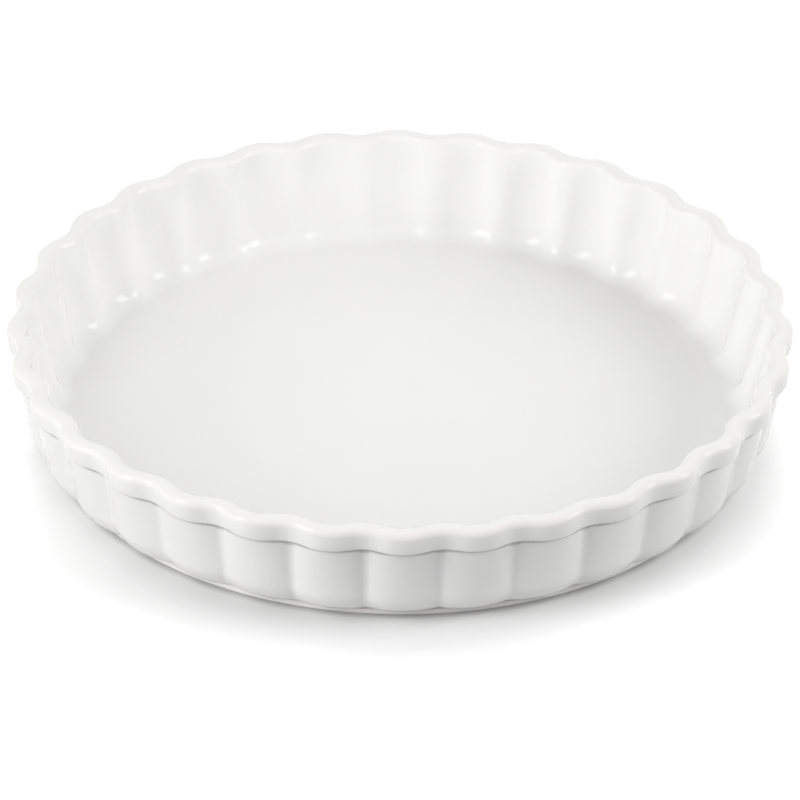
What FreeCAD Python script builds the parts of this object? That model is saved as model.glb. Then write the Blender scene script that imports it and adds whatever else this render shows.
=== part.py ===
import FreeCAD, Part
import Sketcher
import math
import os

# Fluted quiche dish: one ceramic casting with a flat round floor, a fluted wall that leans outward,
# a thick fluted band round the rim and a plain foot ring that it stands on. The casting is modelled as
# its four natural parts, which meet face to face.
# The origin is the centre of the circle that it stands on, +Z is up, and a lobe of the wall lies on +X.
# All sizes are in millimetres.

SIZES = [
    # the overall size
    ("rim_diameter", 280.0),      # across the lobes of the rim, at its top
    ("dish_height", 43.2),        # from the table to the top of the rim
    ("flute_count", 32),          # lobes round the dish
    ("flute_depth", 3.1),         # from lobe to hollow, at the rim and at the top of the wall
    # the band round the rim
    ("band_height", 9.0),         # from its lower edge to the top of the rim
    ("band_flare", 1.1),          # its top stands this much further out than its lower edge
    ("band_overhang", 1.8),       # its lower edge stands this far out from the wall
    ("band_thickness", 6.8),      # across the top of the rim
    ("band_hollow", 14.5),        # radius of the hollows between its lobes
    ("rim_round", 2.7),           # both top edges
    ("band_edge_round", 1.0),     # the lower edge
    # the wall below the band
    ("wall_thickness", 5.3),      # at its top, just under the band
    ("wall_lean", 5.2),           # how far the outside leans outward above the knee
    ("wall_crease", 4.5),         # radius of the narrow hollows between its broad lobes
    ("knee_height", 7.9),         # where the wall turns in under the dish
    ("knee_flute_depth", 2.2),    # the flutes outside grow shallower down to the knee
    ("knee_round", 12.0),         # radius of that turn
    ("heel_tuck", 7.4),           # from the knee in to the heel
    ("heel_flute_depth", 1.6),    # and shallower again at the heel
    # the inside
    ("floor_height", 6.5),        # the floor inside, above the table
    ("cavity_lean", 7.8),         # how far the inside leans outward from the floor to the band
    ("floor_flute_depth", 2.4),   # the flutes inside where they meet the floor
    ("cavity_ridge", 10.0),       # radius of the ridges inside, which back the creases
    ("floor_round", 7.0),         # between the floor and the wall
    # the foot and the base
    ("foot_height", 2.2),         # the underside stands this high above the table
    ("foot_inset", 1.7),          # from the lobes of the heel in to the outside of the foot
    ("foot_width", 5.0),          # across the foot
    ("foot_round", 0.3),          # both edges that touch the table
    ("base_inset", 5.4),          # from the inside of the foot in to the edge of the base plate
]

# Radii, taken across the lobes, and heights that follow from the sizes, as expressions on the sheet.
RIM_TOP = "Sizes.rim_diameter / 2"
BAND_LOW = RIM_TOP + " - Sizes.band_flare"
WALL_TOP = BAND_LOW + " - Sizes.band_overhang"
KNEE = WALL_TOP + " - Sizes.wall_lean"
HEEL = KNEE + " - Sizes.heel_tuck"
FOOT_OUTSIDE = HEEL + " - Sizes.foot_inset"
FOOT_INSIDE = FOOT_OUTSIDE + " - Sizes.foot_width"
BASE_EDGE = FOOT_INSIDE + " - Sizes.base_inset"
CAVITY_RIM = RIM_TOP + " - Sizes.band_thickness"
CAVITY_BAND = WALL_TOP + " - Sizes.wall_thickness"
CAVITY_FLOOR = CAVITY_BAND + " - Sizes.cavity_lean"

TABLE = "0"
UNDERSIDE = "Sizes.foot_height"
FLOOR = "Sizes.floor_height"
KNEE_LEVEL = "Sizes.knee_height"
BAND_LEVEL = "Sizes.dish_height - Sizes.band_height"
RIM_LEVEL = "Sizes.dish_height"

FLUTES = "Sizes.flute_depth"
KNEE_FLUTES = "Sizes.knee_flute_depth"
HEEL_FLUTES = "Sizes.heel_flute_depth"
FLOOR_FLUTES = "Sizes.floor_flute_depth"

BAND_BEND = "Sizes.band_hollow"
WALL_BEND = "Sizes.wall_crease"
CAVITY_BEND = "Sizes.cavity_ridge"

# The most that each top edge's rounding takes of the rim's thickness.
RIM_ROUND_MOST = "0.45 * Sizes.band_thickness"

# How the sketcher numbers the points of a curve, and the sketch's own origin and X axis.
START, END, CENTRE = 1, 2, 3
ROOT = X_AXIS = -1
UP = FreeCAD.Vector(0, 0, 1)
NEAR = 0.01  # an edge this near to a level or a radius lies on it

doc = FreeCAD.newDocument("QuicheDish")
sheet = doc.addObject("Spreadsheet::Sheet", "Sizes")
for row, (alias, number) in enumerate(SIZES, start=1):
    sheet.set("A%d" % row, alias)
    sheet.set("B%d" % row, str(number))
    sheet.setAlias("B%d" % row, alias)
doc.recompute()


def size_of(expression):
    """The present value of an expression on the sheet."""
    return float(sheet.evalExpression(expression))


def polar(radius, angle):
    """A point in plan at a distance and an angle from the axis."""
    return FreeCAD.Vector(radius * math.cos(angle), radius * math.sin(angle), 0)


# ---- sketches ----

def new_body(name):
    """A body whose label names its file."""
    body = doc.addObject("PartDesign::Body", name)
    body.Label = name
    return body


def level_sketch(body, name, level):
    """A sketch on the body's own horizontal plane, raised to a level."""
    sketch = body.newObject("Sketcher::SketchObject", name)
    ground = next(item for item in body.Origin.OriginFeatures if item.Role == "XY_Plane")
    sketch.AttachmentSupport = (ground, "")
    sketch.MapMode = "FlatFace"
    sketch.setExpression("AttachmentOffset.Base.z", level)
    return sketch


def axis_circle(sketch, name, radius, construction):
    """Add a circle round the axis. Gives its number and the rules that centre it and name its radius."""
    circle = sketch.addGeometry(Part.Circle(FreeCAD.Vector(), UP, size_of(radius)), construction)
    centred = Sketcher.Constraint("Coincident", circle, CENTRE, ROOT, START)
    sized = Sketcher.Constraint("Radius", circle, size_of(radius))
    sized.Name = name
    return circle, [centred, sized]


def circle_sketch(body, name, level, radii):
    """Circles round the axis at a level, with their radii bound to the sheet."""
    sketch = level_sketch(body, name, level)
    rules = []
    for label, radius in radii.items():
        rules += axis_circle(sketch, label, radius, False)[1]
    sketch.addConstraint(rules)
    for label, radius in radii.items():
        sketch.setExpression("Constraints." + label, radius)
    return sketch


def lobe_bend(peak, hollow_ring, hollow_bend, half_flute):
    """The radius of the lobe arcs that run tangent into hollows of a given radius."""
    across = peak ** 2 + hollow_ring ** 2 - 2 * peak * hollow_ring * math.cos(half_flute)
    gap = peak + hollow_bend - hollow_ring * math.cos(half_flute)
    return (across - hollow_bend ** 2) / (2 * gap)


def fluted_outline(body, name, level, peak_radius, depth, hollow_bend):
    """The dish's outline at a level: tangent arcs, a lobe and a hollow in turn.

    The lobes reach out to peak_radius, and the hollows lie depth further in, with the radius hollow_bend.
    """
    hollow_radius = "%s - %s" % (peak_radius, depth)
    count = round(size_of("Sizes.flute_count"))
    half_flute = math.pi / count
    narrow = size_of(hollow_bend)
    hollow_ring = size_of(hollow_radius) + narrow
    broad = lobe_bend(size_of(peak_radius), hollow_ring, narrow, half_flute)
    lobe_ring = size_of(peak_radius) - broad
    across = polar(hollow_ring, half_flute) - polar(lobe_ring, 0)
    lobe_turn = across.getAngle(polar(1, 0))
    hollow_turn = lobe_turn - half_flute

    sketch = level_sketch(body, name, level)
    arcs = []
    for flute in range(count):
        lobe_angle = 2 * half_flute * flute
        lobe_circle = Part.Circle(polar(lobe_ring, lobe_angle), UP, broad)
        arcs.append(Part.ArcOfCircle(lobe_circle, lobe_angle - lobe_turn, lobe_angle + lobe_turn))
        hollow_angle = lobe_angle + half_flute
        inward = hollow_angle + math.pi
        hollow_circle = Part.Circle(polar(hollow_ring, hollow_angle), UP, narrow)
        arcs.append(Part.ArcOfCircle(hollow_circle, inward - hollow_turn, inward + hollow_turn))
    numbers = list(sketch.addGeometry(arcs, False))
    lobes = numbers[0::2]
    hollows = numbers[1::2]
    rings = [Part.Circle(FreeCAD.Vector(), UP, lobe_ring), Part.Circle(FreeCAD.Vector(), UP, hollow_ring)]
    lobe_centres, hollow_centres = sketch.addGeometry(rings, True)
    peak_circle, peak_rules = axis_circle(sketch, "peak_radius", peak_radius, True)
    hollow_circle, hollow_rules = axis_circle(sketch, "hollow_radius", hollow_radius, True)

    rules = peak_rules + hollow_rules + [
        Sketcher.Constraint("Coincident", lobe_centres, CENTRE, ROOT, START),
        Sketcher.Constraint("Coincident", hollow_centres, CENTRE, ROOT, START),
        Sketcher.Constraint("PointOnObject", lobes[0], CENTRE, X_AXIS),
        Sketcher.Constraint("Tangent", peak_circle, lobes[0]),
        Sketcher.Constraint("Tangent", hollow_circle, hollows[0]),
    ]
    for lobe, hollow, next_lobe in zip(lobes, hollows, lobes[1:] + lobes[:1]):
        rules.append(Sketcher.Constraint("PointOnObject", lobe, CENTRE, lobe_centres))
        rules.append(Sketcher.Constraint("PointOnObject", hollow, CENTRE, hollow_centres))
        rules.append(Sketcher.Constraint("Tangent", lobe, END, hollow, END))
        rules.append(Sketcher.Constraint("Tangent", hollow, START, next_lobe, START))
    rules += [Sketcher.Constraint("Equal", lobes[0], lobe) for lobe in lobes[1:]]
    rules += [Sketcher.Constraint("Equal", hollows[0], hollow) for hollow in hollows[1:]]
    rules.append(Sketcher.Constraint("Radius", hollows[0], narrow))
    rules[-1].Name = "hollow_bend"
    sketch.addConstraint(rules)
    sketch.setExpression("Constraints.peak_radius", peak_radius)
    sketch.setExpression("Constraints.hollow_radius", hollow_radius)
    sketch.setExpression("Constraints.hollow_bend", hollow_bend)
    return sketch


# ---- features ----

def add_loft(body, kind, name, outlines):
    """A loft with straight sides through outlines, added to the body or cut from it."""
    loft = body.newObject("PartDesign::" + kind, name)
    loft.Profile = outlines[0]
    loft.Sections = outlines[1:]
    loft.Ruled = True
    doc.recompute()
    return loft


def add_fillet(body, name, radius, edges):
    """A fillet of one radius on edges of the body's last feature."""
    rounded = body.Tip
    fillet = body.newObject("PartDesign::Fillet", name)
    fillet.Base = (rounded, edges)
    fillet.setExpression("Radius", radius)
    doc.recompute()
    return fillet


def flat_edges(body, level, outer_radius, depth="0"):
    """The edges of the body's last feature that lie at a level, from outer_radius in by depth."""
    height = size_of(level)
    outer = size_of(outer_radius)
    inner = outer - size_of(depth)
    names = []
    for number, edge in enumerate(body.Tip.Shape.Edges, start=1):
        box = edge.BoundBox
        level_edge = box.ZLength < NEAR and abs(box.ZMin - height) < NEAR
        reach = [math.hypot(vertex.X, vertex.Y) for vertex in edge.Vertexes]
        if level_edge and inner - NEAR < min(reach) and max(reach) < outer + NEAR:
            names.append("Edge%d" % number)
    return names


# ---- the parts of the casting ----

def make_base_plate():
    """The flat middle of the dish: its floor inside and its underside within the foot."""
    body = new_body("base_plate")
    plate = body.newObject("PartDesign::Pad", "base_disc")
    plate.Profile = circle_sketch(body, "base_edge", UNDERSIDE, {"edge_radius": BASE_EDGE})
    plate.setExpression("Length", "%s - %s" % (FLOOR, UNDERSIDE))
    doc.recompute()
    return body


def make_fluted_wall():
    """The wall from the base plate's edge out to the heel and up to the band."""
    body = new_body("fluted_wall")
    add_loft(body, "AdditiveLoft", "wall_outside", [
        fluted_outline(body, "heel_outline", UNDERSIDE, HEEL, HEEL_FLUTES, WALL_BEND),
        fluted_outline(body, "knee_outline", KNEE_LEVEL, KNEE, KNEE_FLUTES, WALL_BEND),
        fluted_outline(body, "wall_top_outline", BAND_LEVEL, WALL_TOP, FLUTES, WALL_BEND),
    ])
    add_loft(body, "SubtractiveLoft", "wall_inside", [
        fluted_outline(body, "floor_outline", FLOOR, CAVITY_FLOOR, FLOOR_FLUTES, CAVITY_BEND),
        fluted_outline(body, "cavity_outline", BAND_LEVEL, CAVITY_BAND, FLUTES, CAVITY_BEND),
    ])
    seat = body.newObject("PartDesign::Pocket", "base_plate_seat")
    seat.Profile = circle_sketch(body, "seat_edge", BAND_LEVEL, {"seat_radius": BASE_EDGE})
    seat.Type = "ThroughAll"
    doc.recompute()
    add_fillet(body, "knee_bend", "Sizes.knee_round", flat_edges(body, KNEE_LEVEL, KNEE, KNEE_FLUTES))
    add_fillet(body, "floor_bend", "Sizes.floor_round", flat_edges(body, FLOOR, CAVITY_FLOOR, FLOOR_FLUTES))
    return body


def make_rim_band():
    """The thick band round the rim, which stands out from the wall and follows its flutes."""
    body = new_body("rim_band")
    add_loft(body, "AdditiveLoft", "band_outside", [
        fluted_outline(body, "band_low_outline", BAND_LEVEL, BAND_LOW, FLUTES, BAND_BEND),
        fluted_outline(body, "rim_outline", RIM_LEVEL, RIM_TOP, FLUTES, BAND_BEND),
    ])
    add_loft(body, "SubtractiveLoft", "band_inside", [
        fluted_outline(body, "cavity_low_outline", BAND_LEVEL, CAVITY_BAND, FLUTES, CAVITY_BEND),
        fluted_outline(body, "cavity_rim_outline", RIM_LEVEL, CAVITY_RIM, FLUTES, BAND_BEND),
    ])
    top_edges = flat_edges(body, RIM_LEVEL, RIM_TOP, FLUTES) + flat_edges(body, RIM_LEVEL, CAVITY_RIM, FLUTES)
    add_fillet(body, "rim_bend", "min(Sizes.rim_round; %s)" % RIM_ROUND_MOST, top_edges)
    low_edges = flat_edges(body, BAND_LEVEL, BAND_LOW, FLUTES)
    add_fillet(body, "band_edge_bend", "Sizes.band_edge_round", low_edges)
    return body


def make_foot_ring():
    """The plain ring that the dish stands on."""
    body = new_body("foot_ring")
    ring = body.newObject("PartDesign::Pad", "ring")
    ring.Profile = circle_sketch(
        body, "ring_edges", TABLE, {"outside_radius": FOOT_OUTSIDE, "inside_radius": FOOT_INSIDE}
    )
    ring.setExpression("Length", "Sizes.foot_height")
    doc.recompute()
    low_edges = flat_edges(body, TABLE, FOOT_OUTSIDE) + flat_edges(body, TABLE, FOOT_INSIDE)
    add_fillet(body, "foot_bend", "Sizes.foot_round", low_edges)
    return body


bodies = [make_base_plate(), make_fluted_wall(), make_rim_band(), make_foot_ring()]
doc.recompute()

failed = [item.Name for item in doc.Objects if "Invalid" in item.State or "Error" in item.State]
if failed:
    raise RuntimeError("these objects failed: " + ", ".join(failed))
for body in bodies:
    if body.Shape.isNull() or not body.Shape.isValid() or len(body.Shape.Solids) != 1:
        raise RuntimeError(body.Label + " is not one valid solid")

os.makedirs("parts", exist_ok=True)
for body in bodies:
    body.Shape.exportStep("parts/" + body.Label + ".step")
    print("%-12s %10.1f mm3 %4d faces" % (body.Label, body.Shape.Volume, len(body.Shape.Faces)))
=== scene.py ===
"""The looks of a white fluted quiche dish: its glazed casting and the foot ring with its bare edge.

Lengths are in metres and angles in radians, but the lamps and the camera are aimed in degrees. The dish
stands on z = 0, its axis is the Z axis, and the middle of a lobe lies on +X.
"""

import logging
import math
from dataclasses import dataclass, field
from enum import Enum

import bmesh
import bpy
from mathutils import Matrix, Vector

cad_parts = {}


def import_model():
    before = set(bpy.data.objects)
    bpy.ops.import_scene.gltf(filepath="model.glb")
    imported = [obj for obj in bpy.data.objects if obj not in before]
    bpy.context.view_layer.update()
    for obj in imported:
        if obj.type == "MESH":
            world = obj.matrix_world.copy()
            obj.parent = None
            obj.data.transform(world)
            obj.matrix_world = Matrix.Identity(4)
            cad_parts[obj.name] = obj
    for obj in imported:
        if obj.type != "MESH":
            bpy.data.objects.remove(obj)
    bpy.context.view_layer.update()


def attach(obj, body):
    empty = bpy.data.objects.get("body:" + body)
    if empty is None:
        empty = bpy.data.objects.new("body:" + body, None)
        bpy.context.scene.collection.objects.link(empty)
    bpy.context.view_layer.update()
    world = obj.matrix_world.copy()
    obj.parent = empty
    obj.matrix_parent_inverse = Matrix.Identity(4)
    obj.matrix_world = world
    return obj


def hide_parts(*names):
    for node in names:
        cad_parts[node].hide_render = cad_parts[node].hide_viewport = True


MM = 0.001
TOUCH = 0.001 * MM  # points nearer to each other than this are one point
TURN = 2.0 * math.pi
# this attribute sets both the thinner glaze over edges and the painted shade in creases and corners
BENDING = "bending_for_glaze_and_shade"  # the surface attribute: 1 over sharp edges, 0 on flat places, -1 in tight corners
FULL_BEND = 4.0 * MM  # the radius of an edge or a corner that gives the attribute its end values
CERAMIC_IOR = 1.5
Colour = tuple[float, float, float]
Range = tuple[float, float]
Node = bpy.types.Node
Socket = bpy.types.NodeSocket

log = logging.getLogger("quiche_dish")


# ---- small tools ----


def even_rise(low: float, high: float, value: float) -> float:
    """Rise evenly from 0 at low to 1 at high, and stay within them."""
    return min(1.0, max(0.0, (value - low) / (high - low)))


def smooth_step(low: float, high: float, value: float) -> float:
    """Ease from 0 at low to 1 at high.

    Args:
        low: The value that gives 0.
        high: The value that gives 1.
        value: The value to place between them.

    Returns:
        A share from 0 to 1.
    """
    share = even_rise(low, high, value)
    return share * share * (3.0 - 2.0 * share)


def rgba(colour: Colour) -> tuple[float, float, float, float]:
    """Give a colour its fourth number, which is 1."""
    return (*colour, 1.0)


class Graph:
    """A node tree with short ways to place and feed its nodes."""

    def __init__(self, tree: bpy.types.NodeTree) -> None:
        """Keep the tree to work on.

        Args:
            tree: A material's, a world's or a group's node tree.
        """
        self.tree = tree

    def add(self, kind: str, **settings: object) -> Node:
        """Place a node.

        Args:
            kind: Blender's name for the node.
            settings: The node's own properties, by name.

        Returns:
            The new node.
        """
        node = self.tree.nodes.new(kind)
        for name, value in settings.items():
            setattr(node, name, value)
        return node

    def feed(self, node: Node, **values: object) -> Node:
        """Link or set a node's inputs.

        Args:
            node: The node that takes the values.
            values: For each input, a socket to link or a plain value. An underscore in a name stands for a
                space, and in2 stands for the input with number 2.

        Returns:
            The same node.
        """
        for name, value in values.items():
            key = int(name[2:]) if name[:2] == "in" and name[2:].isdigit() else name.replace("_", " ")
            if isinstance(value, Socket):
                self.tree.links.new(value, node.inputs[key])
            else:
                node.inputs[key].default_value = value
        return node

    def noise(self, place: Socket, scale: object, detail: float = 2.0) -> Socket:
        """Place a noise over the surface.

        Args:
            place: Where on the piece the shader is.
            scale: A socket or a number, how fine the noise is, in waves per metre.
            detail: How many finer layers it has.

        Returns:
            The noise's value, about 0.5 on average.
        """
        node = self.feed(self.add("ShaderNodeTexNoise"), Vector=place, Scale=scale, Detail=detail)
        return node.outputs[0]

    def math(self, operation: str, first: object, second: object = 0.0, clamp: bool = False) -> Socket:
        """Place a sum, product or other operation on two values.

        Args:
            operation: Blender's name for the operation.
            first: A socket or a number.
            second: A socket or a number.
            clamp: Whether the result is kept from 0 to 1.

        Returns:
            The result's socket.
        """
        node = self.add("ShaderNodeMath", operation=operation, use_clamp=clamp)
        return self.feed(node, in0=first, in1=second).outputs[0]

    def remap(self, value: Socket, old: Range, new: Range = (0.0, 1.0)) -> Socket:
        """Stretch a range of values onto another, and keep to its ends.

        Args:
            value: The value to change.
            old: The two ends of the range that it comes in.
            new: The two ends of the range that it goes out in.

        Returns:
            The changed value's socket.
        """
        node = self.add("ShaderNodeMapRange", interpolation_type="SMOOTHSTEP")
        self.feed(node, Value=value, From_Min=old[0], From_Max=old[1], To_Min=new[0], To_Max=new[1])
        return node.outputs[0]

    def mix(self, share: object, first: object, second: object) -> Socket:
        """Mix two colours.

        Args:
            share: A socket or a number, how much of the second colour shows.
            first: A colour's socket or its four numbers.
            second: A colour's socket or its four numbers.

        Returns:
            The mixed colour's socket.
        """
        node = self.add("ShaderNodeMix", data_type="RGBA")
        return self.feed(node, in0=share, in6=first, in7=second).outputs[2]

    def blend(self, share: object, first: object, second: object) -> Socket:
        """Mix two numbers.

        Args:
            share: A socket or a number, how much of the second number counts.
            first: A socket or a number.
            second: A socket or a number.

        Returns:
            The mixed number's socket.
        """
        node = self.add("ShaderNodeMix", data_type="FLOAT")
        return self.feed(node, in0=share, in2=first, in3=second).outputs[0]

    def place(self) -> Socket:
        """Give the place of the shaded point on its piece, in metres."""
        return self.add("ShaderNodeTexCoord").outputs["Object"]

    def seen(self) -> Socket:
        """Tell the rays that show the surface, directly, mirrored or through glass, from those that light it.

        Returns:
            A value's socket, 1 for a ray that shows the surface and 0 for another.
        """
        path = self.add("ShaderNodeLightPath").outputs
        shown = self.math("MAXIMUM", path["Is Camera Ray"], path["Is Glossy Ray"])
        return self.math("MAXIMUM", shown, path["Is Transmission Ray"])

    def use(self, group: bpy.types.NodeTree, **values: object) -> Node:
        """Place a node group.

        Args:
            group: The group's node tree.
            values: Its inputs, as in feed.

        Returns:
            The group's node.
        """
        node = self.add("ShaderNodeGroup")
        node.node_tree = group
        return self.feed(node, **values)


# ---- effects that more than one finish uses ----


class Effect(Enum):
    """The shared node groups. Each takes a place and its own numbers, and gives one value."""

    CLOUDS = "fired_clouds"
    SPECKS = "fine_specks"
    RIPPLE = "melted_ripple"

    def group(self) -> bpy.types.NodeTree:
        """Give the effect's group, and build it on its first use.

        Returns:
            The group's node tree.
        """
        made = bpy.data.node_groups.get(self.value)
        if made is None:
            builders = {Effect.CLOUDS: build_clouds, Effect.SPECKS: build_specks, Effect.RIPPLE: build_ripple}
            made = builders[self](self.value)
        return made


def start_group(name: str, numbers: dict[str, float], result: str) -> tuple[Graph, Node, Node]:
    """Start a node group with a place, some numbers and one result.

    Args:
        name: The group's name.
        numbers: Its number inputs and what they are when nothing is given.
        result: The name of its only output.

    Returns:
        Its graph, and its input and output nodes.
    """
    tree = bpy.data.node_groups.new(name, "ShaderNodeTree")
    tree.interface.new_socket(name="Place", in_out="INPUT", socket_type="NodeSocketVector")
    for label, usual in numbers.items():
        socket = tree.interface.new_socket(name=label, in_out="INPUT", socket_type="NodeSocketFloat")
        socket.default_value = usual
    tree.interface.new_socket(name=result, in_out="OUTPUT", socket_type="NodeSocketFloat")
    graph = Graph(tree)
    return graph, graph.add("NodeGroupInput"), graph.add("NodeGroupOutput")


def build_clouds(name: str) -> bpy.types.NodeTree:
    """Build soft clouds, as a glaze has where it lies a little thicker or thinner.

    Args:
        name: The group's name.

    Returns:
        The group. Its Tone runs from 0 to 1.
    """
    middle = 0.5
    finer = 5.0
    finer_share = 0.3
    graph, given, result = start_group(name, {"Scale": 20.0, "Contrast": 1.0}, "Tone")
    place = given.outputs["Place"]
    scale = given.outputs["Scale"]
    broad = graph.noise(place, scale)
    close = graph.noise(place, graph.math("MULTIPLY", scale, finer), 3.0)
    from_middle = graph.math("SUBTRACT", graph.blend(finer_share, broad, close), middle)
    swing = graph.math("MULTIPLY", from_middle, given.outputs["Contrast"])
    graph.feed(result, Tone=graph.math("ADD", swing, middle, clamp=True))
    return graph.tree


def build_specks(name: str) -> bpy.types.NodeTree:
    """Build sparse round specks, as fired clay and glaze have from grains in the body.

    Args:
        name: The group's name.

    Returns:
        The group. Its Mask is 1 in a speck.
    """
    graph, given, result = start_group(name, {"Scale": 400.0, "Size": 0.12, "Share": 0.2}, "Mask")
    place = given.outputs["Place"]
    cells = graph.feed(graph.add("ShaderNodeTexVoronoi"), Vector=place, Scale=given.outputs["Scale"])
    inside = graph.math("LESS_THAN", cells.outputs["Distance"], given.outputs["Size"])
    pick = graph.feed(graph.add("ShaderNodeSeparateColor"), Color=cells.outputs["Color"])
    chosen = graph.math("LESS_THAN", pick.outputs[0], given.outputs["Share"])
    graph.feed(result, Mask=graph.math("MULTIPLY", inside, chosen))
    return graph.tree


def build_ripple(name: str) -> bpy.types.NodeTree:
    """Build the faint waves of a glaze that melted and levelled, with a finer grain over them.

    Args:
        name: The group's name.

    Returns:
        The group. Its Height runs from about 0 to 1.
    """
    finer = 12.0
    graph, given, result = start_group(name, {"Scale": 120.0, "Grain": 0.1}, "Height")
    place = given.outputs["Place"]
    scale = given.outputs["Scale"]
    waves = graph.noise(place, scale, 1.0)
    grain = graph.noise(place, graph.math("MULTIPLY", scale, finer), 3.0)
    graph.feed(result, Height=graph.blend(given.outputs["Grain"], waves, grain))
    return graph.tree


@dataclass(frozen=True)
class Clouds:
    """The soft clouds of one finish: how many lie in a metre, and how far they swing from the middle."""

    scale: float
    contrast: float

    def tone(self, graph: Graph, place: Socket) -> Socket:
        """Place the clouds in a material, as a value from 0 to 1."""
        clouds = graph.use(Effect.CLOUDS.group(), Place=place, Scale=self.scale, Contrast=self.contrast)
        return clouds.outputs[0]


@dataclass(frozen=True)
class Specks:
    """The specks of one finish: how many fit in a metre, their size, the share that show, their strength."""

    scale: float
    size: float
    share: float
    strength: float

    def mask(self, graph: Graph, place: Socket) -> Socket:
        """Place the specks in a material.

        Args:
            graph: The material's graph.
            place: Where on the piece the shader is.

        Returns:
            The mask's socket: the specks' strength within a speck, and 0 elsewhere.
        """
        specks = graph.use(Effect.SPECKS.group(), Place=place, Scale=self.scale)
        graph.feed(specks, Size=self.size, Share=self.share)
        return graph.math("MULTIPLY", specks.outputs[0], self.strength)


@dataclass(frozen=True)
class Ripple:
    """The waves of one finish's surface: how many in a metre, their share of grain, height and strength."""

    scale: float
    grain: float
    height: float
    strength: float = 1.0

    def normal(self, graph: Graph, place: Socket, within: object = 1.0) -> Socket:
        """Tilt the surface by its waves.

        Args:
            graph: The material's graph.
            place: Where on the piece the shader is.
            within: A mask's socket or a number, which the waves' height is multiplied by.

        Returns:
            The tilted normal's socket.
        """
        waves = graph.use(Effect.RIPPLE.group(), Place=place, Scale=self.scale, Grain=self.grain)
        height = graph.math("MULTIPLY", waves.outputs[0], within)
        bump = graph.add("ShaderNodeBump")
        graph.feed(bump, Strength=self.strength, Distance=self.height, Height=height)
        return bump.outputs[0]


# ---- finishes ----


def start_material(name: str) -> tuple[bpy.types.Material, Graph, Node]:
    """Start a material.

    Args:
        name: The material's name.

    Returns:
        The material, its graph and its shader.
    """
    made = bpy.data.materials.new(name)
    made.use_nodes = True
    return made, Graph(made.node_tree), made.node_tree.nodes["Principled BSDF"]


@dataclass(frozen=True)
class WhiteGlaze:
    """A glossy white glaze: thinner and warmer over the edges, a little darker in creases, partly from
    thicker glaze and partly as painted shade, and much darker in tight corners, such as the one under the
    band, as painted shade.

    The ranges are values of the bending attribute. The colour over edges comes in as it rises through its
    range, and the painted shade in creases and in corners comes in as it falls through theirs.
    """

    colour: Colour = (0.9, 0.896, 0.889)
    cloud: Colour = (0.878, 0.876, 0.872)
    clouds: Clouds = Clouds(scale=14.0, contrast=2.2)
    over_edges: Colour = (0.885, 0.876, 0.86)
    edge_range: Range = (0.15, 1.0)
    # painted shade in the creases, partly thicker glaze
    crease_glaze_and_shade: Colour = (0.83, 0.83, 0.825)
    crease_shade_range: Range = (-0.65, -0.37)
    # painted shade in tight corners, mainly the dark line under the rim band
    painted_corner_shade: Colour = (0.46, 0.46, 0.455)
    corner_shade_range: Range = (-0.95, -0.5)
    speck: Colour = (0.62, 0.58, 0.52)
    specks: Specks = Specks(scale=90.0, size=0.025, share=0.12, strength=0.35)
    ripple: Ripple = Ripple(scale=85.0, grain=0.04, height=0.06 * MM)
    roughness: Range = (0.025, 0.06)

    def colour_of(self, graph: Graph, place: Socket, tone: Socket) -> Socket:
        """Place the nodes of the glaze's colour, with its painted shade in creases and corners.

        Args:
            graph: The material's graph.
            place: Where on the piece the shader is.
            tone: The glaze's clouds, from 0 to 1.

        Returns:
            The colour's socket.
        """
        bending = graph.add("ShaderNodeAttribute", attribute_type="GEOMETRY", attribute_name=BENDING).outputs["Fac"]
        plain = graph.mix(tone, rgba(self.colour), rgba(self.cloud))
        edged = graph.mix(graph.remap(bending, self.edge_range), plain, rgba(self.over_edges))
        # painted shade: the colour darkens where the surface bends into creases and corners
        crease_shaded = graph.mix(graph.remap(bending, self.crease_shade_range, (1.0, 0.0)), edged, rgba(self.crease_glaze_and_shade))
        corner_shaded = graph.mix(graph.remap(bending, self.corner_shade_range, (1.0, 0.0)), crease_shaded, rgba(self.painted_corner_shade))
        return graph.mix(self.specks.mask(graph, place), corner_shaded, rgba(self.speck))

    def material(self, name: str) -> bpy.types.Material:
        """Build the glaze.

        Args:
            name: The material's name.

        Returns:
            The material.
        """
        made, graph, shader = start_material(name)
        place = graph.place()
        tone = self.clouds.tone(graph, place)
        graph.feed(
            shader,
            Base_Color=self.colour_of(graph, place, tone),
            Roughness=graph.remap(tone, (0.0, 1.0), self.roughness),
            IOR=CERAMIC_IOR,
            Normal=self.ripple.normal(graph, place),
        )
        return made


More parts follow.
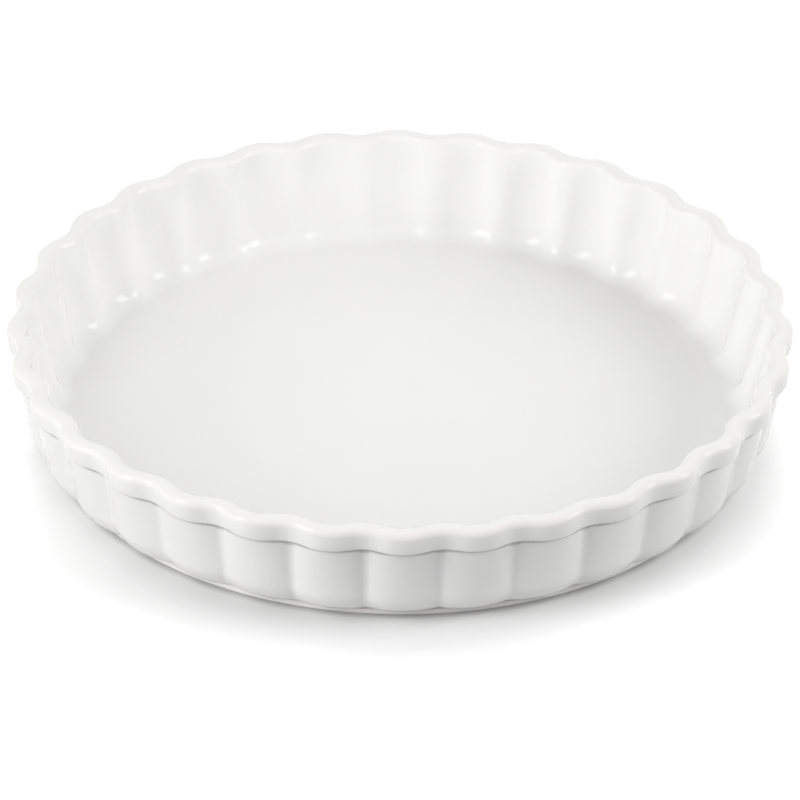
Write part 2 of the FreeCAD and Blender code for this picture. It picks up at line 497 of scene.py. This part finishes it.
@dataclass(frozen=True)
class BareEdge:
    """White fired clay, bare of glaze below a wavering line and rubbed a little grey where it stands."""

    glaze: WhiteGlaze = WhiteGlaze()
    glaze_roughness: float = 0.08
    clay: Colour = (0.87, 0.858, 0.835)
    clay_shade: Colour = (0.82, 0.806, 0.778)
    clay_roughness: Range = (0.62, 0.8)
    clouds: Clouds = Clouds(scale=60.0, contrast=2.5)
    speck: Colour = (0.42, 0.36, 0.3)
    specks: Specks = Specks(scale=900.0, size=0.2, share=0.12, strength=0.5)
    grain: Ripple = Ripple(scale=900.0, grain=0.6, height=0.05 * MM, strength=0.6)
    rubbed: Colour = (0.64, 0.63, 0.61)
    rubbed_height: float = 0.12 * MM
    rubbed_share: float = 0.45
    line_height: float = 0.3 * MM
    line_blur: float = 0.06 * MM
    line_waver: float = 0.2 * MM
    waver_scale: float = 60.0

    def bare_mask(self, graph: Graph, place: Socket, height: Socket) -> Socket:
        """Place the nodes that say where the clay is bare.

        Args:
            graph: The material's graph.
            place: Where on the piece the shader is.
            height: How high above the table the shader is.

        Returns:
            The mask's socket, 1 where the clay is bare.
        """
        swing = graph.math("SUBTRACT", graph.noise(place, self.waver_scale), 0.5)
        waver = graph.math("MULTIPLY", swing, self.line_waver)
        from_line = graph.math("SUBTRACT", graph.math("ADD", height, waver), self.line_height)
        return graph.remap(from_line, (-self.line_blur, self.line_blur), (1.0, 0.0))

    def material(self, name: str) -> bpy.types.Material:
        """Build the finish of the foot ring.

        Args:
            name: The material's name.

        Returns:
            The material.
        """
        made, graph, shader = start_material(name)
        place = graph.place()
        height = graph.feed(graph.add("ShaderNodeSeparateXYZ"), Vector=place).outputs["Z"]
        bare = self.bare_mask(graph, place, height)
        tone = self.clouds.tone(graph, place)
        clay = graph.mix(tone, rgba(self.clay), rgba(self.clay_shade))
        clay = graph.mix(self.specks.mask(graph, place), clay, rgba(self.speck))
        touching = graph.remap(height, (0.0, self.rubbed_height), (self.rubbed_share, 0.0))
        clay = graph.mix(graph.math("MULTIPLY", touching, tone), clay, rgba(self.rubbed))
        glaze = self.glaze.colour_of(graph, place, tone)
        clay_roughness = graph.remap(tone, (0.0, 1.0), self.clay_roughness)
        graph.feed(
            shader,
            Base_Color=graph.mix(bare, glaze, clay),
            Roughness=graph.blend(bare, self.glaze_roughness, clay_roughness),
            IOR=CERAMIC_IOR,
            Normal=self.grain.normal(graph, place, bare),
        )
        return made


# ---- the dish ----


@dataclass(frozen=True)
class Flute:
    """One flute's form at one level of the dish: its depth, and the radius that its hollow bends at."""

    depth: float
    hollow_bend: float

    def towards(self, other: "Flute", share: float) -> "Flute":
        """Give the form part of the way to another.

        Args:
            other: The form at the far end.
            share: How much of the way, from 0 to 1.

        Returns:
            The form between them.
        """
        depth = self.depth + share * (other.depth - self.depth)
        hollow_bend = self.hollow_bend + share * (other.hollow_bend - self.hollow_bend)
        return Flute(depth, hollow_bend)


@dataclass(frozen=True)
class Fluting:
    """The lobes and hollows round the dish, drawn as tangent arcs.

    Each flute is turned in a number of steps, which crowd towards its hollow. The faintest depth is the least
    that is drawn as a flute.
    """

    count: int = 32
    steps: int = 24
    crowding: float = 0.6
    faintest: float = 0.0001 * MM

    @property
    def half_pitch(self) -> float:
        """The angle from the middle of a lobe to the middle of a hollow."""
        return math.pi / self.count

    def crowd(self, angle: float) -> float:
        """Move a direction nearer to its hollow, where the outline bends most.

        Args:
            angle: One of the evenly spaced directions from the axis.

        Returns:
            The direction that its points get.
        """
        return angle + self.crowding * math.sin(self.count * angle) / self.count

    def inset(self, peak: float, flute: Flute, angle: float) -> float:
        """Say how far in from its lobes the outline lies.

        Args:
            peak: How far the lobes reach from the axis.
            flute: The flute's form at this level.
            angle: The direction from the axis.

        Returns:
            The distance in from the circle through the lobes.
        """
        if flute.depth < self.faintest:
            return 0.0
        narrow = flute.hollow_bend
        hollow_ring = peak - flute.depth + narrow
        reach_over = hollow_ring * math.cos(self.half_pitch)
        across = peak**2 + hollow_ring**2 - 2.0 * peak * reach_over
        broad = (across - narrow**2) / (2.0 * (peak + narrow - reach_over))
        lobe_ring = peak - broad
        hollow_middle = Vector((reach_over, hollow_ring * math.sin(self.half_pitch)))
        joint = narrow * Vector((lobe_ring, 0.0)) + broad * hollow_middle
        turn = abs((angle + self.half_pitch) % (2.0 * self.half_pitch) - self.half_pitch)
        if turn < math.atan2(joint.y, joint.x):
            reach = lobe_ring * math.cos(turn) + math.sqrt(broad**2 - (lobe_ring * math.sin(turn)) ** 2)
        else:
            back = self.half_pitch - turn
            reach = hollow_ring * math.cos(back) - math.sqrt(narrow**2 - (hollow_ring * math.sin(back)) ** 2)
        return peak - reach


@dataclass(frozen=True)
class Corner:
    """A corner of a section, with the radius that rounds it off and the segments that draw the rounding."""

    radius: float
    height: float
    rounding: float = 0.0
    segments: int = 6


class Turned:
    """A section that is turned round the axis into a closed solid.

    Along the section no face is longer than the spacing, or than the plain spacing where the solid is flat.
    """

    spacing: float = 3.5 * MM
    plain_spacing: float = 14.0 * MM

    def __init__(self, corners: list[Corner], plain_within: float, fluting: Fluting, closed: bool) -> None:
        """Keep the section.

        Args:
            corners: The corners in order.
            plain_within: The radius within which the solid is flat, and a few wide faces do.
            fluting: How many flutes a turn has, and how many steps each.
            closed: Whether the last corner joins the first. An open section ends on the axis at both ends.
        """
        self.corners = corners
        self.plain_within = plain_within
        self.fluting = fluting
        self.closed = closed

    def turned_at(self, index: int) -> float:
        """Give the angle by which the section turns at one of its corners.

        Args:
            index: The corner's place in the order.

        Returns:
            The angle, 0 where the section runs straight on.
        """
        here = self.corners[index]
        before = self.corners[index - 1]
        after = self.corners[(index + 1) % len(self.corners)]
        inward = Vector((here.radius - before.radius, here.height - before.height))
        outward = Vector((after.radius - here.radius, after.height - here.height))
        return inward.angle(outward)

    @staticmethod
    def spin(drawn: bmesh.types.BMesh, angle: float, steps: int, copies: bool) -> None:
        """Spin all that is drawn about the axis.

        Args:
            drawn: The mesh to spin.
            angle: How far it turns.
            steps: In how many steps.
            copies: Whether each step leaves a copy, and not a swept surface.
        """
        bmesh.ops.spin(
            drawn,
            geom=drawn.verts[:] + drawn.edges[:] + drawn.faces[:],
            axis=(0.0, 0.0, 1.0),
            cent=(0.0, 0.0, 0.0),
            angle=angle,
            steps=steps,
            use_duplicate=copies,
        )

    def round_corners(self, drawn: bmesh.types.BMesh, points: list[bmesh.types.BMVert]) -> None:
        """Round the section's corners.

        Args:
            drawn: The mesh that holds the section.
            points: The points of its corners, in order.
        """
        for index, corner in enumerate(self.corners):
            if corner.rounding > 0.0:
                bmesh.ops.bevel(
                    drawn,
                    geom=[points[index]],
                    offset=corner.rounding * math.tan(self.turned_at(index) / 2.0),
                    offset_type="OFFSET",
                    affect="VERTICES",
                    segments=corner.segments,
                    profile=0.5,
                    material=-1,
                )

    def divide(self, drawn: bmesh.types.BMesh) -> None:
        """Divide the section's edges, so that none is longer than its spacing."""
        for stretch in list(drawn.edges):
            plain = max(end.co.x for end in stretch.verts) < self.plain_within + TOUCH
            cuts = math.ceil(stretch.calc_length() / (self.plain_spacing if plain else self.spacing)) - 1
            if cuts > 0:
                bmesh.ops.subdivide_edges(drawn, edges=[stretch], cuts=cuts)

    def mesh(self) -> bmesh.types.BMesh:
        """Draw the section, round its corners, divide it and spin it: one flute first, and then its copies.

        Returns:
            The closed mesh.
        """
        drawn = bmesh.new()
        points = [drawn.verts.new((corner.radius, 0.0, corner.height)) for corner in self.corners]
        following = points[1:] + (points[:1] if self.closed else [])
        for ends in zip(points, following):
            drawn.edges.new(ends)
        self.round_corners(drawn, points)
        self.divide(drawn)
        pitch = TURN / self.fluting.count
        self.spin(drawn, pitch, self.fluting.steps, False)
        self.spin(drawn, TURN - pitch, self.fluting.count - 1, True)
        bmesh.ops.remove_doubles(drawn, verts=drawn.verts, dist=TOUCH)
        return drawn


def mark_bending(mesh: bmesh.types.BMesh, sharpest: float) -> None:
    """Write how sharply the surface bends at each point: 1 over sharp edges that stand out, -1 in tight
    corners. From it the glaze thins over the edges, and shade is painted into the creases and corners.

    Args:
        mesh: The piece.
        sharpest: The bend, as one over its radius, past which the value stays at 1 or -1.
    """
    layer = mesh.verts.layers.float.new(BENDING)
    mesh.normal_update()
    for point in mesh.verts:
        bends = []
        for edge in point.link_edges:
            away = edge.other_vert(point).co - point.co
            bends.append(-2.0 * point.normal.dot(away) / away.length_squared)
        point[layer] = max(-1.0, min(1.0, sum(bends) / len(bends) / sharpest))


def finish_piece(mesh: bmesh.types.BMesh, name: str, material: bpy.types.Material) -> bpy.types.Object:
    """Turn a finished mesh into an object with smooth faces that look outward.

    Args:
        mesh: The mesh, which is freed.
        name: The piece's name.
        material: Its finish.

    Returns:
        The object.
    """
    bmesh.ops.recalc_face_normals(mesh, faces=mesh.faces)
    mark_bending(mesh, 1.0 / FULL_BEND)
    for face in mesh.faces:
        face.smooth = True
    data = bpy.data.meshes.new(name)
    mesh.to_mesh(data)
    mesh.free()
    data.materials.append(material)
    piece = bpy.data.objects.new(name, data)
    bpy.context.scene.collection.objects.link(piece)
    return piece


@dataclass
class GlazedCasting:
    """The dish but for its foot: floor, fluted wall and rim band under one unbroken glaze.

    Its radii are those of the lobes. Between edge_below and edge_above the band's lower edge, the outer face
    changes from the wall's flutes to the band's. The shade painted into the corner under the band fades out
    over undercut_depth. Over foot_fade, measured from the foot's outside, the underside takes on the heel's
    flutes. Firing moves the rim in by up to the unevenness, in sway_waves, each a number of waves round the
    dish and the angle that it starts at.
    """

    fluting: Fluting = Fluting()
    rim_radius: float = 140.0 * MM
    height: float = 43.2 * MM
    band_height: float = 9.0 * MM
    band_flare: float = 1.1 * MM
    band_overhang: float = 1.8 * MM
    band_thickness: float = 6.8 * MM
    band_flute: Flute = Flute(3.1 * MM, 14.5 * MM)
    rim_round: float = 2.7 * MM
    band_edge_round: float = 1.0 * MM
    undercut_round: float = 0.6 * MM
    undercut_depth: float = 3.0 * MM
    edge_above: float = 1.0 * MM
    edge_below: float = 0.5 * MM
    wall_thickness: float = 5.3 * MM
    wall_lean: float = 5.2 * MM
    wall_top_flute: Flute = Flute(3.1 * MM, 4.5 * MM)
    knee_height: float = 7.9 * MM
    knee_round: float = 12.0 * MM
    knee_flute: Flute = Flute(2.2 * MM, 4.5 * MM)
    heel_tuck: float = 7.4 * MM
    heel_round: float = 0.15 * MM
    heel_flute: Flute = Flute(1.6 * MM, 4.5 * MM)
    floor_height: float = 6.5 * MM
    floor_round: float = 7.0 * MM
    floor_flute: Flute = Flute(2.4 * MM, 10.0 * MM)
    cavity_lean: float = 7.8 * MM
    cavity_bend: float = 60.0 * MM
    cavity_flute: Flute = Flute(3.1 * MM, 10.0 * MM)
    underside: float = 2.2 * MM
    foot_outside: float = 122.8 * MM
    foot_fade: Range = (-1.0 * MM, 1.6 * MM)
    flat_floor: float = 100.0 * MM
    unevenness: float = 0.12 * MM
    sway_waves: tuple[tuple[int, float], ...] = ((2, 0.7), (5, 2.1))

    @property
    def band_level(self) -> float:
        """The height of the band's lower edge."""
        return self.height - self.band_height

    @property
    def wall_top(self) -> float:
        """How far the wall's lobes reach just under the band."""
        return self.rim_radius - self.band_flare - self.band_overhang

    @property
    def cavity_top(self) -> float:
        """How far the cavity's lobes reach at the band's lower edge."""
        return self.wall_top - self.wall_thickness

    def section(self) -> list[Corner]:
        """Draw up the section, from the middle of the floor over the rim to the underside.

        Returns:
            Its corners, in order.
        """
        knee = self.wall_top - self.wall_lean
        slope = self.wall_lean / (self.band_level - self.knee_height)
        return [
            Corner(0.0, self.floor_height),
            Corner(self.flat_floor, self.floor_height),
            Corner(self.cavity_top - self.cavity_lean, self.floor_height, self.floor_round, segments=14),
            Corner(self.cavity_top, self.band_level, self.cavity_bend),
            Corner(self.rim_radius - self.band_thickness, self.height, self.rim_round, segments=10),
            Corner(self.rim_radius, self.height, self.rim_round, segments=10),
            Corner(self.rim_radius - self.band_flare, self.band_level, self.band_edge_round),
            Corner(self.wall_top, self.band_level, self.undercut_round, segments=4),
            # a point below the undercut, so that the painted corner shade fades out within undercut_depth
            Corner(self.wall_top - slope * self.undercut_depth, self.band_level - self.undercut_depth),
            Corner(knee, self.knee_height, self.knee_round, segments=10),
            Corner(knee - self.heel_tuck, self.underside, self.heel_round, segments=3),
            Corner(self.flat_floor, self.underside),
            Corner(0.0, self.underside),
        ]

    def flute_at(self, radius: float, height: float) -> Flute:
        """Say what form the flutes have at a point of the section.

        Args:
            radius: How far out the point lies, on the middle of a lobe.
            height: How high it lies.

        Returns:
            The flute's form there.
        """
        up = even_rise(self.floor_height, self.band_level, height)
        inner_face = self.cavity_top - self.cavity_lean * (1.0 - up)
        if radius < inner_face + self.wall_thickness / 2.0:
            if height > self.band_level:
                share = even_rise(self.band_level, self.height, height)
                return self.cavity_flute.towards(self.band_flute, share)
            return self.floor_flute.towards(self.cavity_flute, up)
        if height > self.band_level + self.edge_above:
            return self.band_flute
        if height > self.band_level - self.edge_below:
            share = even_rise(self.wall_top, self.wall_top + self.band_overhang / 2.0, radius)
            return self.wall_top_flute.towards(self.band_flute, share)
        if height > self.knee_height:
            share = even_rise(self.knee_height, self.band_level, height)
            return self.knee_flute.towards(self.wall_top_flute, share)
        share = even_rise(self.underside, self.knee_height, height)
        return self.heel_flute.towards(self.knee_flute, share)

    def fade_at(self, radius: float, height: float) -> float:
        """Say how much of the flutes' depth a point takes: none in the middle of the floor and the underside.

        Args:
            radius: How far out the point lies, on the middle of a lobe.
            height: How high it lies.

        Returns:
            A share from 0 to 1.
        """
        if height < self.underside + TOUCH:
            start, end = self.foot_fade
            return smooth_step(self.foot_outside + start, self.foot_outside + end, radius)
        toe = self.cavity_top - self.cavity_lean - self.floor_round
        return smooth_step(self.flat_floor, toe, radius)

    def sway(self, angle: float) -> float:
        """Say how much of the rim's unevenness shows in a direction, as a share from 0 to 1."""
        waves = [math.sin(count * angle + start) for count, start in self.sway_waves]
        return 0.5 + 0.5 * sum(waves) / len(waves)

    def build(self) -> bmesh.types.BMesh:
        """Turn the section, press the flutes into it and let it move a little, as it does in the kiln.

        Returns:
            The closed mesh.
        """
        mesh = Turned(self.section(), self.flat_floor, self.fluting, False).mesh()
        for point in mesh.verts:
            reach = math.hypot(point.co.x, point.co.y)
            angle = self.fluting.crowd(math.atan2(point.co.y, point.co.x))
            if reach > self.flat_floor:
                form = self.flute_at(reach, point.co.z)
                flute = Flute(form.depth * self.fade_at(reach, point.co.z), form.hollow_bend)
                lift = smooth_step(self.underside, self.height, point.co.z)
                reach -= self.fluting.inset(reach, flute, angle) + self.unevenness * lift * self.sway(angle)
            point.co.x = reach * math.cos(angle)
            point.co.y = reach * math.sin(angle)
        return mesh

    def make(self, finish: WhiteGlaze) -> bpy.types.Object:
        """Build and dress the casting, and let it stand for its CAD nodes.

        Args:
            finish: The glaze.

        Returns:
            The piece.
        """
        piece = finish_piece(self.build(), "glazed_casting", finish.material("white_glaze"))
        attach(piece, "root")
        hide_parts("base_plate", "fluted_wall", "rim_band")
        return piece


@dataclass
class FootRing:
    """The plain ring that the dish stands on, turned in as many stretches as the dish has flutes."""

    outside: float
    height: float
    width: float = 5.0 * MM
    rounding: float = 0.5 * MM
    fluting: Fluting = Fluting(steps=12)

    def make(self, finish: BareEdge) -> bpy.types.Object:
        """Build and dress the ring, and let it stand for its CAD node.

        Args:
            finish: The ring's finish.

        Returns:
            The piece.
        """
        inside = self.outside - self.width
        corners = [
            Corner(inside, self.height),
            Corner(inside, 0.0, self.rounding),
            Corner(self.outside, 0.0, self.rounding),
            Corner(self.outside, self.height),
        ]
        mesh = Turned(corners, 0.0, self.fluting, True).mesh()
        piece = finish_piece(mesh, "bare_edged_foot", finish.material("foot_ceramic"))
        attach(piece, "root")
        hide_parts("foot_ring")
        return piece


# ---- the studio ----


@dataclass(frozen=True)
class Softbox:
    """A flat lamp that looks at the dish from a direction. A mirrored one shows in the glaze."""

    name: str
    azimuth: float
    elevation: float
    power: float
    size: tuple[float, float] = (0.9, 0.9)
    distance: float = 1.6
    mirrored: bool = False

    def hang(self, target: Vector) -> bpy.types.Object:
        """Hang the lamp, out of the camera's sight.

        Args:
            target: The point that it looks at.

        Returns:
            The lamp.
        """
        data = bpy.data.lights.new(self.name, "AREA")
        data.shape = "RECTANGLE"
        data.size, data.size_y = self.size
        data.energy = self.power
        lamp = bpy.data.objects.new(self.name, data)
        around, up = math.radians(self.azimuth), math.radians(self.elevation)
        away = Vector((math.cos(up) * math.cos(around), math.cos(up) * math.sin(around), math.sin(up)))
        lamp.location = target + self.distance * away
        lamp.rotation_euler = away.to_track_quat("Z", "Y").to_euler()
        lamp.visible_camera = False
        lamp.visible_glossy = self.mirrored
        bpy.context.scene.collection.objects.link(lamp)
        return lamp


@dataclass
class Studio:
    """A white floor and background, soft lamps and the camera of the photograph.

    Over a fade, a range of distances, the floor goes from its near colour to its far one. The colour that
    is seen holds a painted shadow: it fades round floor_fade_centre, darker near the dish, and once more in a
    thin painted contact shadow at the foot. The bounce, the colour that throws light back on the dish, has a
    fade of its own round the same centre.
    """

    floor_half_width: float = 6.0
    # painted shadow: the seen floor is darker near the dish, floor_near, and brighter far off, floor_far
    floor_near: float = 0.785
    floor_far: float = 1.3
    floor_fade: Range = (100.0 * MM, 147.0 * MM)
    floor_fade_centre: tuple[float, float, float] = (0.0, -26.0 * MM, 0.0)
    # painted contact shadow: a thin darker ring on the floor at the foot
    painted_contact_shadow: float = 0.6
    contact_shadow_fade: Range = (122.0 * MM, 126.5 * MM)
    bounce_near: float = 0.68
    bounce_far: float = 0.4
    bounce_fade: Range = (105.0 * MM, 170.0 * MM)
    sky_level: float = 0.09
    view_distance: float = 3.599
    view_elevation: float = 31.374
    view_azimuth: float = -0.647
    view_roll: float = 0.405
    view_target: float = 34.3 * MM
    sensor_width: float = 36.0  # in Blender's millimetres
    focal_pixels: float = 10137.0
    picture_side: int = 800
    target_pixel: tuple[float, float] = (400.14, 345.97)
    lamp_target: float = 20.0 * MM
    softboxes: list[Softbox] = field(
        default_factory=lambda: [
            Softbox("left_box", 208.0, 31.0, 7.2, (0.55, 1.4), mirrored=True),
            Softbox("right_box", -10.0, 24.0, 6.2, (0.6, 1.1), mirrored=True),
            Softbox("left_low_fill", 200.0, 12.0, 7.0),
            Softbox("left_front_fill", 225.0, 30.0, 6.0),
            Softbox("left_high_fill", 225.0, 58.0, 1.8),
            Softbox("right_fill", -15.0, 30.0, 8.2),
            Softbox("back_low_fill", 90.0, 20.0, 6.6),
            Softbox("back_high_fill", 90.0, 50.0, 4.2),
            Softbox("back_right_fill", 32.0, 36.0, 3.0),
            Softbox("front_fill", 270.0, 35.0, 2.6),
        ]
    )

    def floor_material(self) -> bpy.types.Material:
        """Build the floor's finish: white, with a painted shadow near the dish and a thin ring of painted
        contact shadow at its foot.

        Returns:
            The material. What it throws back at the dish is set by its bounce alone.
        """
        made, graph, shader = start_material("studio_floor")
        place = graph.place()
        from_centre = graph.add("ShaderNodeVectorMath", operation="DISTANCE")
        graph.feed(from_centre, in0=place, in1=self.floor_fade_centre)
        away = from_centre.outputs["Value"]
        from_axis = graph.feed(graph.add("ShaderNodeVectorMath", operation="LENGTH"), in0=place)
        reach = from_axis.outputs["Value"]
        # painted shadow near the dish and painted contact shadow at the foot, in the seen colour only
        tone = graph.remap(away, self.floor_fade, (self.floor_near, self.floor_far))
        contact = graph.remap(reach, self.contact_shadow_fade, (self.painted_contact_shadow, 1.0))
        bounce = graph.remap(away, self.bounce_fade, (self.bounce_near, self.bounce_far))
        graph.feed(
            shader,
            Base_Color=graph.mix(graph.seen(), bounce, graph.math("MULTIPLY", tone, contact)),
            Roughness=1.0,
            Specular_IOR_Level=0.0,
        )
        return made

    def make_floor(self) -> bpy.types.Object:
        """Lay the floor, which keeps the dish's shadow.

        Returns:
            The floor.
        """
        mesh = bmesh.new()
        bmesh.ops.create_grid(mesh, x_segments=2, y_segments=2, size=self.floor_half_width)
        data = bpy.data.meshes.new("studio_floor")
        mesh.to_mesh(data)
        mesh.free()
        floor = bpy.data.objects.new("studio_floor", data)
        bpy.context.scene.collection.objects.link(floor)
        data.materials.append(self.floor_material())
        return floor

    def make_world(self) -> bpy.types.World:
        """Surround the studio with a pale sky, which is plain white where it is seen.

        Returns:
            The world.
        """
        world = bpy.data.worlds.new("studio_sky")
        world.use_nodes = True
        bpy.context.scene.world = world
        graph = Graph(world.node_tree)
        sky = world.node_tree.nodes["Background"]
        graph.feed(sky, Color=rgba((1.0, 1.0, 1.0)), Strength=graph.blend(graph.seen(), self.sky_level, 1.0))
        return world

    def make_camera(self) -> bpy.types.Object:
        """Stand the camera where the photograph was taken from.

        Returns:
            The camera, aimed so that the middle of the dish falls on its pixel.
        """
        data = bpy.data.cameras.new("photo_camera")
        data.sensor_width = self.sensor_width
        data.lens = self.focal_pixels / self.picture_side * data.sensor_width
        camera = bpy.data.objects.new("photo_camera", data)
        bpy.context.scene.collection.objects.link(camera)
        bpy.context.scene.camera = camera
        up = math.radians(self.view_elevation)
        target = Vector((0.0, 0.0, self.view_target))
        eye = target + self.view_distance * Vector((0.0, -math.cos(up), math.sin(up)))
        turn = Matrix.Rotation(math.radians(self.view_azimuth), 3, "Z")
        look = (target - eye).to_track_quat("-Z", "Y").to_matrix()
        aside = math.atan((self.picture_side / 2.0 - self.target_pixel[0]) / self.focal_pixels)
        below = math.atan((self.picture_side / 2.0 - self.target_pixel[1]) / self.focal_pixels)
        roll = Matrix.Rotation(math.radians(self.view_roll), 3, "Z")
        aim = Matrix.Rotation(-below, 3, "X") @ Matrix.Rotation(aside, 3, "Y")
        camera.matrix_world = Matrix.Translation(turn @ eye) @ (turn @ look @ aim @ roll).to_4x4()
        return camera

    def make(self) -> None:
        """Set up the studio round the dish."""
        bpy.context.scene.view_settings.view_transform = "Standard"
        self.make_world()
        self.make_floor()
        self.make_camera()
        for softbox in self.softboxes:
            softbox.hang(Vector((0.0, 0.0, self.lamp_target)))


def main() -> None:
    """Build the dish and the studio round it."""
    logging.basicConfig(level=logging.INFO, format="%(name)s: %(message)s")
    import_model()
    glaze = WhiteGlaze()
    casting = GlazedCasting()
    foot = FootRing(casting.foot_outside, casting.underside)
    pieces = [casting.make(glaze), foot.make(BareEdge(glaze))]
    for piece in pieces:
        log.info("%s: %d faces, %s", piece.name, len(piece.data.polygons), piece.data.materials[0].name)
    Studio().make()


if __name__ == "__main__":
    main()
